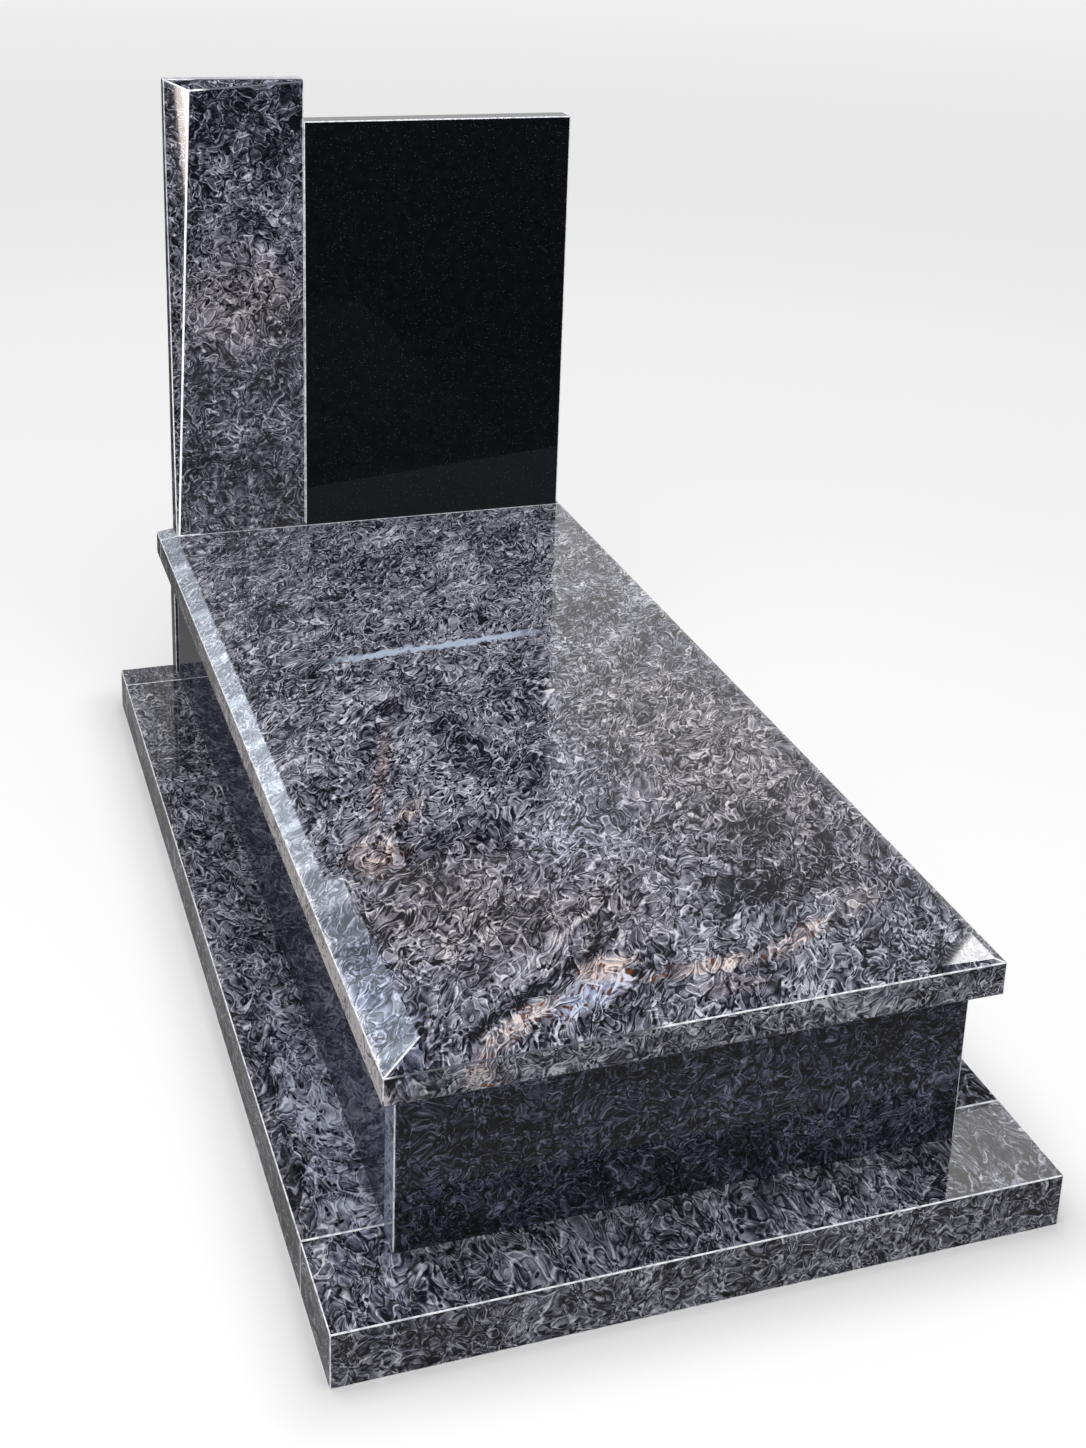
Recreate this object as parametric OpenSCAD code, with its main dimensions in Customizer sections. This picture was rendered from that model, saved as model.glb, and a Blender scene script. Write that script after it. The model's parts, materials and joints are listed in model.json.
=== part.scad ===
/* Granite grave monument: a kerb, a hollow box, a cover slab and a headstone of two uprights.
   Millimetres, +Z up. The origin is on the ground under the middle of the kerb.
   The front is at -Y, and the headstone stands at the +Y end. */

/* [Kerb] */
// Width of the kerb, which is the width of the whole monument
kerb_w = 1000; // [850:10:1300]
// Length of the kerb, which is the length of the whole monument
kerb_l = 1900; // [1500:10:2400]
// Height of the kerb stones
kerb_h = 80; // [50:1:150]
// How far the front kerb stone reaches in past the front panel that stands on it
front_ledge = 10; // [0:1:100]
// How far the back kerb stone reaches in past the back panel
back_ledge = 30; // [0:1:100]
// How far each side kerb stone reaches in past its side panel
side_ledge = 6; // [0:1:100]

/* [Box] */
// How far the sides of the box stand in from the sides of the kerb
box_side_margin = 105; // [40:1:140]
// How far the front of the box stands in from the front of the kerb
box_front_margin = 110; // [40:1:250]
// Height of the box panels
box_h = 250; // [100:5:450]
// Thickness of the box panels
panel_t = 45; // [30:1:80]
// How far the side panels are set back from the ends of the front and back panels
panel_setback = 4; // [0:0.5:10]

/* [Cover slab] */
// Thickness of the cover slab and of the strip under the headstone
slab_t = 50; // [30:1:100]
// Overhang of the slab past each side of the box
slab_side_overhang = 25; // [0:1:100]
// Overhang of the slab past the front of the box
slab_front_overhang = 40; // [0:1:100]
// Width of the left bevel at the front corner
left_bevel_front = 60; // [10:1:120]
// Width of the left bevel at the back edge
left_bevel_back = 32; // [5:1:100]
// Depth of the front bevel at the left corner
front_bevel_left = 58; // [10:1:120]
// Depth of the front bevel at the right corner
front_bevel_right = 9; // [4:1:100]
// Drop of both bevels at the front left corner
bevel_drop = 10.5; // [2:0.5:20]
// Width of the right bevel at the front corner
right_bevel_front = 12; // [4:1:60]
// Width of the right bevel at the back edge
right_bevel_back = 5; // [3:1:60]
// Drop of the right bevel at the front corner
right_bevel_drop = 2; // [0.5:0.5:10]

/* [Headstone] */
// Thickness of both uprights and depth of the strip under them
headstone_t = 50; // [40:1:120]
// Width of the column
column_w = 260; // [120:5:400]
// Height of the column above the slab
column_h = 900; // [500:10:1400]
// Height of the stele above the slab
stele_h = 820; // [400:10:1300]
// How far the column stands in from the left bevel
column_inset = 0; // [0:1:100]
// How far the stele stands in from the right bevel
stele_inset = 3; // [0:1:100]

/* [Column bevels] */
// Width of the side bevel on the column's front face, at the mitre near the top
side_bevel_top = 43; // [10:1:90]
// Width of the side bevel on the column's front face, at the foot
side_bevel_foot = 5; // [2:1:60]
// Depth of both bevels on the column's left side, at the top
side_bevel_depth = 25; // [8:1:35]
// Drop of the top bevel at the mitre
top_bevel_left = 18; // [5:1:60]
// Drop of the top bevel at the column's right side
top_bevel_right = 4; // [2:1:40]

/* [Joints and arrises] */
// Width of the joint between stones that butt end to end
joint_gap = 0.5; // [0:0.1:0.9]
// Size of the small chamfer on the polished edges
arris = 2; // [0.5:0.5:4]

/* [Hidden] */

blue_granite = [0.30, 0.31, 0.36];
black_granite = [0.03, 0.03, 0.035];

// The kerb's outer faces, and its stones as wide as what stands on them needs
left_x = -kerb_w / 2;
right_x = kerb_w / 2;
front_y = -kerb_l / 2;
back_y = kerb_l / 2;
kerb_front_d = box_front_margin + panel_t + front_ledge;
kerb_back_d = panel_t + back_ledge;
kerb_side_w = box_side_margin + panel_setback + panel_t + side_ledge;

// The box's outer faces; its back is flush with the back of the kerb
box_left_x = left_x + box_side_margin;
box_right_x = right_x - box_side_margin;
box_front_y = front_y + box_front_margin;
box_top_z = kerb_h + box_h;

// The slab's outer faces and its two levels
slab_left_x = box_left_x - slab_side_overhang;
slab_right_x = box_right_x + slab_side_overhang;
slab_front_y = box_front_y - slab_front_overhang;
slab_l = back_y - slab_front_y;
slab_top_z = box_top_z + slab_t;

// The headstone's front plane, where the slab meets the strip
foot_y = back_y - headstone_t;

// A side bevel's width where the headstone's front plane crosses it: the uprights stand clear of it
foot_share = (foot_y - slab_front_y) / slab_l;
function at_foot(front, back) = front + (back - front) * foot_share;
column_left_x = slab_left_x + at_foot(left_bevel_front, left_bevel_back) + column_inset;
column_right_x = column_left_x + column_w;
stele_left_x = column_right_x + joint_gap;
stele_right_x = slab_right_x - at_foot(right_bevel_front, right_bevel_back) - stele_inset;

// A cutter is larger than anything that it cuts
cutter = 2 * (kerb_w + kerb_l + column_h);

// A block from its lowest to its highest corner, with an arris on all twelve edges
module block(low, high) {
    size = high - low;
    translate(low) intersection() {
        linear_extrude(size.z) chamfered(size.x, size.y);
        translate([0, size.y, 0]) rotate([90, 0, 0]) linear_extrude(size.y) chamfered(size.x, size.z);
        rotate([90, 0, 90]) linear_extrude(size.x) chamfered(size.y, size.z);
    }
}

// A rectangle from the origin with its four corners cut off
module chamfered(w, h) {
    polygon([
        [arris, 0], [w - arris, 0], [w, arris], [w, h - arris],
        [w - arris, h], [arris, h], [0, h - arris], [0, arris]
    ]);
}

// Everything on the outer side of the plane through three points, which run anticlockwise seen from outside
module outside_of(a, b, c) {
    n = cross(b - a, c - a);
    tilt = acos(n.z / norm(n));
    heading = atan2(n.y, n.x);
    translate(a) rotate([0, tilt, heading])
        translate([-cutter / 2, -cutter / 2, 0]) cube(cutter);
}

module kerb_front() {
    color(blue_granite)
        block([left_x, front_y, 0], [right_x, front_y + kerb_front_d, kerb_h]);
}

module kerb_back() {
    color(blue_granite)
        block([left_x, back_y - kerb_back_d, 0], [right_x, back_y, kerb_h]);
}

// One side kerb stone, from its face nearer the left at x_low
module kerb_side(x_low) {
    color(blue_granite)
        block([x_low, front_y + kerb_front_d + joint_gap, 0],
              [x_low + kerb_side_w, back_y - kerb_back_d - joint_gap, kerb_h]);
}

module kerb_left() { kerb_side(left_x); }

module kerb_right() { kerb_side(right_x - kerb_side_w); }

module box_front() {
    color(blue_granite)
        block([box_left_x, box_front_y, kerb_h], [box_right_x, box_front_y + panel_t, box_top_z]);
}

module box_back() {
    color(blue_granite)
        block([box_left_x, back_y - panel_t, kerb_h], [box_right_x, back_y, box_top_z]);
}

// One side panel, from its face nearer the left at x_low
module box_side(x_low) {
    color(blue_granite)
        block([x_low, box_front_y + panel_t + joint_gap, kerb_h],
              [x_low + panel_t, back_y - panel_t - joint_gap, box_top_z]);
}

module box_left() { box_side(box_left_x + panel_setback); }

module box_right() { box_side(box_right_x - panel_setback - panel_t); }

// The slab and the strip in one: a plate with its three tapered bevels
module bevelled_plate() {
    front_left = [slab_left_x, slab_front_y, slab_top_z - bevel_drop];
    difference() {
        block([slab_left_x, slab_front_y, box_top_z], [slab_right_x, back_y, slab_top_z]);
        outside_of(front_left,
                   [slab_left_x + left_bevel_front, slab_front_y, slab_top_z],
                   [slab_left_x + left_bevel_back, back_y, slab_top_z]);
        outside_of(front_left,
                   [slab_right_x, slab_front_y + front_bevel_right, slab_top_z],
                   [slab_left_x, slab_front_y + front_bevel_left, slab_top_z]);
        outside_of([slab_right_x, slab_front_y, slab_top_z - right_bevel_drop],
                   [slab_right_x - right_bevel_back, back_y, slab_top_z],
                   [slab_right_x - right_bevel_front, slab_front_y, slab_top_z]);
    }
}

module cover_slab() {
    color(blue_granite) intersection() {
        bevelled_plate();
        block([slab_left_x, slab_front_y, box_top_z],
              [slab_right_x, foot_y - joint_gap / 2, slab_top_z]);
    }
}

module headstone_base() {
    color(blue_granite) intersection() {
        bevelled_plate();
        block([slab_left_x, foot_y + joint_gap / 2, box_top_z], [slab_right_x, back_y, slab_top_z]);
    }
}

// The column: its side bevel widens upwards and meets the top bevel in a mitre
module column() {
    top = slab_top_z + column_h;
    mitre_front = [column_left_x + side_bevel_top, foot_y, top - top_bevel_left];
    mitre_back = [column_left_x, foot_y + side_bevel_depth, top];
    color(blue_granite) difference() {
        block([column_left_x, foot_y, slab_top_z], [column_right_x, back_y, top]);
        outside_of(mitre_front, mitre_back,
                   [column_left_x + side_bevel_foot, foot_y, slab_top_z]);
        outside_of(mitre_front, [column_right_x, foot_y, top - top_bevel_right], mitre_back);
    }
}

module stele() {
    color(black_granite)
        block([stele_left_x, foot_y, slab_top_z], [stele_right_x, back_y, slab_top_z + stele_h]);
}

kerb_front();
kerb_back();
kerb_left();
kerb_right();
box_front();
box_back();
box_left();
box_right();
cover_slab();
headstone_base();
column();
stele();
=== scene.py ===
"""A polished granite grave monument: kerb, box, bevelled cover slab and a two-part headstone.

Every stone is a mesh made round the CAD node that it stands for, with its sawn bevels and
eased arrises, and wears a granite made wholly of shader nodes. Lengths are metres; the
granite's own pattern is laid out in centimetres.
"""

import json
import logging
import math
from dataclasses import dataclass
from enum import Enum

import bmesh
import bpy
from mathutils import Matrix, Vector

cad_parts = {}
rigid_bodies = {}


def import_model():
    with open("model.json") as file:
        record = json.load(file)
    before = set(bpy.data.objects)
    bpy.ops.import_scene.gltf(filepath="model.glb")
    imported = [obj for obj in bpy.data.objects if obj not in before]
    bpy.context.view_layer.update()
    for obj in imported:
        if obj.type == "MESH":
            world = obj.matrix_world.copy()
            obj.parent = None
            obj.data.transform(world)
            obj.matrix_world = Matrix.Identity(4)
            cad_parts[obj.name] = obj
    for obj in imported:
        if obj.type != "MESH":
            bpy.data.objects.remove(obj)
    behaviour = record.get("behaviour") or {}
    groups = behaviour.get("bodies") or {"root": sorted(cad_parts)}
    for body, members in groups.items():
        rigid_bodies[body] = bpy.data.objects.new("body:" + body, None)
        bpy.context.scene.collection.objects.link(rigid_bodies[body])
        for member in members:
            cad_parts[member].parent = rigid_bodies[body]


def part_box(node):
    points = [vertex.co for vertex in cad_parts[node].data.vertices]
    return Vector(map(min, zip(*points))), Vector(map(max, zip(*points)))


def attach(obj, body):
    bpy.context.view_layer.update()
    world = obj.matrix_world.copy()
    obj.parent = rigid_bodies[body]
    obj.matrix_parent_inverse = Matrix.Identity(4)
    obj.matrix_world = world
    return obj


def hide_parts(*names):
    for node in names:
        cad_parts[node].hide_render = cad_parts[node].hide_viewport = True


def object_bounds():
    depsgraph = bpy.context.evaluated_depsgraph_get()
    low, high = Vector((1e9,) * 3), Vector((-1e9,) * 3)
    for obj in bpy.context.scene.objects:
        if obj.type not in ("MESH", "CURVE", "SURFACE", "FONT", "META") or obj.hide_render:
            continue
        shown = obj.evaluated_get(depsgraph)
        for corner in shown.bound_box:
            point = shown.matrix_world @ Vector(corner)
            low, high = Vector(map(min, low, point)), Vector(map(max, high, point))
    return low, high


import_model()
CAD_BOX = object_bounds()

BODY = "root"
CM = 100.0
Triple = tuple[float, float, float]
Colour = tuple[float, float, float, float]
Stop = tuple[float, Colour]

log = logging.getLogger("grave_monument")


class Slot(Enum):
    """The record's material slots."""

    BLUE = "blue_granite"
    BLACK = "black_granite"


class Facet(Enum):
    """The two sorts of face on a worked stone, in the order of its materials."""

    POLISHED = 0
    ARRIS = 1


def shade(red: float, green: float, blue: float) -> Colour:
    """A colour written as display values from 0 to 255, turned linear for a shader.

    Args:
        red: Display value of red.
        green: Display value of green.
        blue: Display value of blue.

    Returns:
        The linear colour, with an alpha of 1.
    """
    linear = []
    for value in (red, green, blue):
        part = value / 255.0
        linear.append(part / 12.92 if part <= 0.04045 else ((part + 0.055) / 1.055) ** 2.4)
    return (linear[0], linear[1], linear[2], 1.0)


# --------------------------------------------------------------------------------------
# Shader graphs
# --------------------------------------------------------------------------------------


class Link:
    """One output of a node; arithmetic on it adds the Math nodes that it needs."""

    def __init__(self, graph: "Graph", socket: bpy.types.NodeSocket | None) -> None:
        """Wraps an output socket of the graph, or stands for nothing."""
        self.graph = graph
        self.socket = socket

    def other(self, output: str) -> "Link":
        """Another output of the same node."""
        return Link(self.graph, self.socket.node.outputs[output])

    def __add__(self, value: "Link | float") -> "Link":
        """This plus a value."""
        return self.graph.math("ADD", self, value)

    def __radd__(self, value: float) -> "Link":
        """A value plus this."""
        return self.graph.math("ADD", value, self)

    def __sub__(self, value: "Link | float") -> "Link":
        """This less a value."""
        return self.graph.math("SUBTRACT", self, value)

    def __rsub__(self, value: float) -> "Link":
        """A value less this."""
        return self.graph.math("SUBTRACT", value, self)

    def __mul__(self, value: "Link | float") -> "Link":
        """This times a value."""
        return self.graph.math("MULTIPLY", self, value)

    def __rmul__(self, value: float) -> "Link":
        """A value times this."""
        return self.graph.math("MULTIPLY", value, self)

    def __abs__(self) -> "Link":
        """This without its sign."""
        return self.graph.math("ABSOLUTE", self)


class Graph:
    """The node tree of one material or world, emptied and ready to be built."""

    def __init__(self, owner: bpy.types.Material | bpy.types.World) -> None:
        """Takes over a node tree.

        Args:
            owner: The material or world that the tree belongs to.
        """
        owner.use_nodes = True
        self.tree = owner.node_tree
        self.tree.nodes.clear()

    def feed(self, socket: bpy.types.NodeSocket, value: object) -> None:
        """Links a socket to a Link, or sets it to a plain value.

        Args:
            socket: The input socket.
            value: A Link, a number, or a colour or vector as a tuple.
        """
        if isinstance(value, Link):
            self.tree.links.new(value.socket, socket)
        else:
            socket.default_value = value

    def node(
        self,
        kind: str,
        settings: dict[str, object] | None = None,
        values: dict[str | int, object] | None = None,
        output: str | int = 0,
    ) -> Link:
        """Adds one node.

        Args:
            kind: The node's type.
            settings: Properties of the node, set before its sockets; a ramp's are its stops.
            values: Values or Links of its input sockets, by name or place.
            output: Which output the result stands for.

        Returns:
            The chosen output; it stands for nothing where the node has none.
        """
        made = self.tree.nodes.new(kind)
        for name, value in (settings or {}).items():
            if name == "stops":
                self.set_stops(made.color_ramp, value)
            else:
                setattr(made, name, value)
        for name, value in (values or {}).items():
            self.feed(made.inputs[name], value)
        chosen = made.outputs[output] if made.outputs else None
        return Link(self, chosen)

    @staticmethod
    def set_stops(band: bpy.types.ColorRamp, stops: tuple[Stop, ...]) -> None:
        """Gives a ramp its stops.

        Args:
            band: The node's colour ramp.
            stops: Places from 0 to 1, rising, each with its colour.
        """
        while len(band.elements) < len(stops):
            band.elements.new(0.5)
        for element, (at, colour) in zip(band.elements, stops):
            element.position = at
            element.color = colour

    def math(self, operation: str, *values: "Link | float") -> Link:
        """A Math node on one, two or three values."""
        return self.node("ShaderNodeMath", {"operation": operation}, dict(enumerate(values)))

    def vector(self, operation: str, *values: "Link | Triple", scale: "Link | float | None" = None) -> Link:
        """A Vector Math node.

        Args:
            operation: The node's operation.
            values: Its vectors, in order.
            scale: The Scale socket, for the SCALE operation.

        Returns:
            The resulting vector.
        """
        sockets = dict(enumerate(values))
        if scale is not None:
            sockets["Scale"] = scale
        return self.node("ShaderNodeVectorMath", {"operation": operation}, sockets)

    def mix(self, factor: "Link | float", first: "Link | Colour", second: "Link | Colour") -> Link:
        """A blend from the first colour to the second as factor goes from 0 to 1."""
        settings = {"data_type": "RGBA", "clamp_factor": True}
        return self.node("ShaderNodeMix", settings, {0: factor, 6: first, 7: second}, output=2)

    def ramp(self, value: Link, stops: tuple[Stop, ...]) -> Link:
        """A colour that follows a value from stop to stop."""
        return self.node("ShaderNodeValToRGB", {"stops": stops}, {0: value})

    def multiply(self, first: "Link | Colour", second: "Link | Colour") -> Link:
        """One colour times another."""
        settings = {"data_type": "RGBA", "blend_type": "MULTIPLY"}
        return self.node("ShaderNodeMix", settings, {0: 1.0, 6: first, 7: second}, output=2)

    def step(self, value: Link, low: float, high: float) -> Link:
        """A smooth step.

        Args:
            value: What is stepped.
            low: Where the step is 0.
            high: Where the step is 1; below low for a falling step.

        Returns:
            0 to 1.
        """
        settings = {"interpolation_type": "SMOOTHSTEP"}
        values = {"Value": value, "From Min": min(low, high), "From Max": max(low, high)}
        rising = self.node("ShaderNodeMapRange", settings, values)
        return rising if low < high else 1 - rising

    def noise(self, place: Link, size: float, detail: float = 0.0, rough: float = 0.5) -> Link:
        """Soft noise.

        Args:
            place: The point, in centimetres.
            size: The size of its features, in centimetres.
            detail: Octaves of finer noise.
            rough: How strong the finer noise is.

        Returns:
            The value, with the vector under the output named Color.
        """
        values = {"Vector": place, "Scale": 1.0 / size, "Detail": detail, "Roughness": rough}
        return self.node("ShaderNodeTexNoise", {}, values)

    def warp(self, place: Link, size: float, reach: float, detail: float = 0.0) -> Link:
        """Bends space softly.

        Args:
            place: The point, in centimetres.
            size: The size of the bends.
            reach: How far a point may be pushed, side to side.
            detail: Octaves of finer bends.

        Returns:
            The bent point.
        """
        push = self.vector("SUBTRACT", self.noise(place, size, detail).other("Color"), (0.5, 0.5, 0.5))
        return self.vector("ADD", place, self.vector("SCALE", push, scale=reach))

    def cells(self, place: Link, size: float) -> Link:
        """Scattered cells: the distance from the nearest middle, with the cell's own colour as Color."""
        values = {"Vector": place, "Scale": 1.0 / size}
        return self.node("ShaderNodeTexVoronoi", {"feature": "F1"}, values, output="Distance")

    def cell_value(self, cells: Link) -> Link:
        """One value from 0 to 1 for each cell, the same all over it."""
        return self.node("ShaderNodeSeparateColor", {}, {0: cells.other("Color")})

    def here(self) -> Link:
        """The point on the stone or floor, in metres."""
        return self.node("ShaderNodeTexCoord", {}, {}, output="Object")

    def length(self, vector: Link) -> Link:
        """How long a vector is."""
        return self.node("ShaderNodeVectorMath", {"operation": "LENGTH"}, {0: vector}, output="Value")

    def dot(self, first: Link, second: Triple) -> Link:
        """The dot product of two vectors."""
        values = {0: first, 1: second}
        return self.node("ShaderNodeVectorMath", {"operation": "DOT_PRODUCT"}, values, output="Value")

    def surface(self, values: dict[str | int, object]) -> None:
        """Ends the graph in a Principled BSDF with these socket values."""
        shader = self.node("ShaderNodeBsdfPrincipled", {}, values)
        self.node("ShaderNodeOutputMaterial", {}, {"Surface": shader})


# --------------------------------------------------------------------------------------
# Finishes
# --------------------------------------------------------------------------------------


@dataclass(frozen=True)
class Zone:
    """A soft-edged oval patch where the granite differs from the rest.

    Attributes:
        middle: Its middle, in metres.
        reach: Its half-lengths, in metres.
        turn: How far it is turned about the vertical, in degrees.
        lift: How much paler it is, or darker below 0.
        warm: How peach-coloured it is.
        cool: How bluish it is.
        rust: How rusty its flecks are.
    """

    middle: Triple
    reach: Triple
    turn: float = 0.0
    lift: float = 0.0
    warm: float = 0.0
    cool: float = 0.0
    rust: float = 0.0

    RIM = (1.1, 0.9)

    def spread(self, graph: Graph, here: Link) -> Link:
        """How far a point is from the zone's middle, as a share of its reach: 1 on its rim.

        Args:
            graph: The material's graph.
            here: The point on the stone, in metres.

        Returns:
            The share.
        """
        values = {
            "Vector": here,
            "Location": self.middle,
            "Rotation": (0.0, 0.0, math.radians(self.turn)),
            "Scale": self.reach,
        }
        within = graph.node("ShaderNodeMapping", {"vector_type": "TEXTURE"}, values)
        return graph.length(within)

    def mask(self, graph: Graph, here: Link) -> Link:
        """1 inside the zone and 0 outside it, with a narrow soft rim."""
        return graph.step(self.spread(graph, here), *self.RIM)


@dataclass(frozen=True)
class Vein:
    """A straight pale vein: its two ends and half its width, in metres."""

    start: Triple
    end: Triple
    half_width: float


@dataclass(frozen=True)
class BlueGranite:
    """Polished blue-grey granite, packed with pale curling strands and dark flecks.

    Attributes:
        seat: Where in the quarry block the stone is sawn from, in centimetres.
        turn: How the stone lies in the block, in degrees.
        zones: Its patches that differ from the rest.
        veins: Its pale veins.
        lift: How much paler the whole stone is, or darker below 0.
        body: A colour that the whole stone is multiplied by.
        stretch: How far the pattern is drawn out, along the block's axes.
        calm: How far the pattern is evened out, from 0 to 1.
        specular: How strongly its polish mirrors, on the shader's scale.
    """

    seat: Triple
    turn: Triple = (0.0, 0.0, 0.0)
    zones: tuple[Zone, ...] = ()
    veins: tuple[Vein, ...] = ()
    lift: float = 0.0
    body: Colour = (1.0, 1.0, 1.0, 1.0)
    stretch: Triple = (1.0, 1.0, 1.0)
    calm: float = 0.0
    specular: float = 0.5

    TONES = (
        (0.0, shade(18, 19, 25)),
        (0.25, shade(50, 51, 61)),
        (0.5, shade(110, 110, 123)),
        (0.75, shade(162, 162, 175)),
        (1.0, shade(218, 218, 226)),
    )
    # Soft bends of the whole pattern, wide and then small
    FLOW_SIZE, FLOW_REACH, FLOW_DETAIL = 9.0, 5.0, 1.0
    BEND_SIZE, BEND_REACH = 1.9, 1.7
    # The curled strands: shuffled grains, each crossed by a few shaded waves
    GRAIN_SIZE = 2.2
    SHUFFLE = 60.0
    STRAND_SIZE, STRANDS, STRAND_TONE = 2.3, 5.5, 0.34
    STRAND_CREST, STRAND_HOLLOW, HOLLOW_SHARE = 2.4, 5.0, 0.6
    # The combed grains: some of the same grains, crossed by finer hairs
    COMB_SIZE, HAIRS, COMB_TONE = 2.8, 14.0, 0.5
    COMBED = (0.5, 0.8)
    # The thin pale and dark threads
    THREAD_SIZE, THREAD_DETAIL, THREAD_TONE = 2.2, 0.6, 0.32
    THREAD_SHIFT = (31.0, 7.0, 3.0)
    PALE_THREAD, PALE_EDGE = 0.52, (0.03, 0.008)
    DARK_THREAD, DARK_EDGE, DARK_SHARE = 0.46, (0.03, 0.01), 0.8
    # The dark oval flecks, in some of their cells and in some fields
    FLECK_SHAPE, FLECK_SIZE, FLECK_TONE = (0.8, 1.2, 1.0), 0.8, 0.7
    FLECK_EDGE, FLECK_CHOSEN = (0.4, 0.26), (0.3, 0.4)
    FIELD_SIZE, FIELD_EDGE = 5.0, (0.35, 0.6)
    # The clouds that the tone drifts with, from the widest to the finest
    MIDDLE_TONE, CALM_TONE = 0.37, 0.4
    DRIFT_SIZE, DRIFT_DETAIL, DRIFT_ROUGH, DRIFT_TONE = 8.0, 3.0, 0.6, 1.0
    PATCH_SIZE, PATCH_DETAIL, PATCH_ROUGH, PATCH_TONE = 1.5, 2.0, 0.6, 1.25
    WEAVE_SIZE, WEAVE_DETAIL, WEAVE_TONE = 0.3, 1.0, 0.4
    # How ragged a zone's rim is, and a vein's sides
    RIM_SIZE, RIM_DETAIL, RIM_ROUGH, RIM_REACH = 3.0, 3.0, 0.65, 1.8
    RIM_EDGE = (1.2, 0.3)
    SIDE_SIZE, SIDE_DETAIL, SIDE_REACH = 1.2, 2.0, 3.4
    # A vein's full depth of colour starts at this share of its half width; its ends taper off
    VEIN_CORE, VEIN_COVER, VEIN_TAPER = 0.4, 0.85, 8.0
    WARM = (1.2, 1.0, 0.84, 1.0)
    COOL = (0.88, 0.98, 1.16, 1.0)
    RUST = shade(140, 76, 44)
    VEIN = shade(186, 200, 222)
    IOR = 1.5
    ROUGHNESS = 0.03

    def material(self, name: str) -> bpy.types.Material:
        """The finish as a material.

        Args:
            name: The material's name.

        Returns:
            The material.
        """
        made = bpy.data.materials.new(name)
        graph = Graph(made)
        here = graph.here()
        place = self.place_in_block(graph, here)
        colour = self.pattern(graph, here, place)
        colour = self.with_veins(graph, here, place, colour)
        graph.surface(
            {
                "Base Color": colour,
                "Roughness": self.ROUGHNESS,
                "IOR": self.IOR,
                "Specular IOR Level": self.specular,
            }
        )
        return made

    def place_in_block(self, graph: Graph, here: Link) -> Link:
        """The point in the quarry block that a point of the stone comes from.

        Args:
            graph: The material's graph.
            here: The point on the stone, in metres.

        Returns:
            The point in the block, in centimetres.
        """
        return graph.node(
            "ShaderNodeMapping",
            {"vector_type": "TEXTURE"},
            {
                "Vector": here,
                "Location": tuple(-part / CM for part in self.seat),
                "Rotation": tuple(math.radians(angle) for angle in self.turn),
                "Scale": tuple(part / CM for part in self.stretch),
            },
        )

    def pattern(self, graph: Graph, here: Link, place: Link) -> Link:
        """Overlapping curled strands, combed patches, threads and flecks.

        Args:
            graph: The material's graph.
            here: The point on the stone, in metres.
            place: The point in the block, in centimetres.

        Returns:
            The colour.
        """
        flowing = graph.warp(place, self.FLOW_SIZE, self.FLOW_REACH, self.FLOW_DETAIL)
        bent = graph.warp(flowing, self.BEND_SIZE, self.BEND_REACH)
        grain = graph.cells(bent, self.GRAIN_SIZE)
        shuffled = graph.vector("ADD", bent, graph.vector("SCALE", grain.other("Color"), scale=self.SHUFFLE))
        wave = graph.math("FRACT", graph.noise(shuffled, self.STRAND_SIZE) * self.STRANDS)
        hollow = graph.math("POWER", wave, self.STRAND_HOLLOW) * self.HOLLOW_SHARE
        curl = graph.math("POWER", 1 - wave, self.STRAND_CREST) - hollow
        comb = 0.5 - graph.math("FRACT", graph.noise(shuffled, self.COMB_SIZE) * self.HAIRS)
        combed = graph.step(graph.cell_value(grain), *self.COMBED)
        strung = graph.vector("ADD", bent, self.THREAD_SHIFT)
        thread = graph.noise(strung, self.THREAD_SIZE, self.THREAD_DETAIL)
        pale = graph.step(abs(thread - self.PALE_THREAD), *self.PALE_EDGE)
        dark = graph.step(abs(thread - self.DARK_THREAD), *self.DARK_EDGE)
        threads = pale - dark * self.DARK_SHARE
        oval = graph.cells(graph.vector("MULTIPLY", bent, self.FLECK_SHAPE), self.FLECK_SIZE)
        chosen = graph.step(graph.cell_value(oval), *self.FLECK_CHOSEN)
        field = graph.step(graph.noise(flowing, self.FIELD_SIZE), *self.FIELD_EDGE)
        flecks = graph.step(oval, *self.FLECK_EDGE) * chosen * field
        drift = graph.noise(flowing, self.DRIFT_SIZE, self.DRIFT_DETAIL, self.DRIFT_ROUGH) - 0.5
        patch = graph.noise(bent, self.PATCH_SIZE, self.PATCH_DETAIL, self.PATCH_ROUGH) - 0.5
        weave = graph.noise(place, self.WEAVE_SIZE, self.WEAVE_DETAIL) - 0.5
        tone = self.MIDDLE_TONE + self.lift + curl * self.STRAND_TONE + comb * combed * self.COMB_TONE
        tone = tone + drift * self.DRIFT_TONE + patch * self.PATCH_TONE + weave * self.WEAVE_TONE
        tone = tone + threads * self.THREAD_TONE
        lifted, warm, cool, rust = self.zone_sums(graph, here, place)
        tone = tone + lifted - flecks * self.FLECK_TONE
        if self.calm:
            tone = tone * (1 - self.calm) + self.CALM_TONE * self.calm
        colour = graph.multiply(graph.ramp(tone, self.TONES), self.body)
        colour = graph.mix(warm, colour, graph.multiply(colour, self.WARM))
        colour = graph.mix(cool, colour, graph.multiply(colour, self.COOL))
        return graph.mix(rust * flecks, colour, self.RUST)

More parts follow.
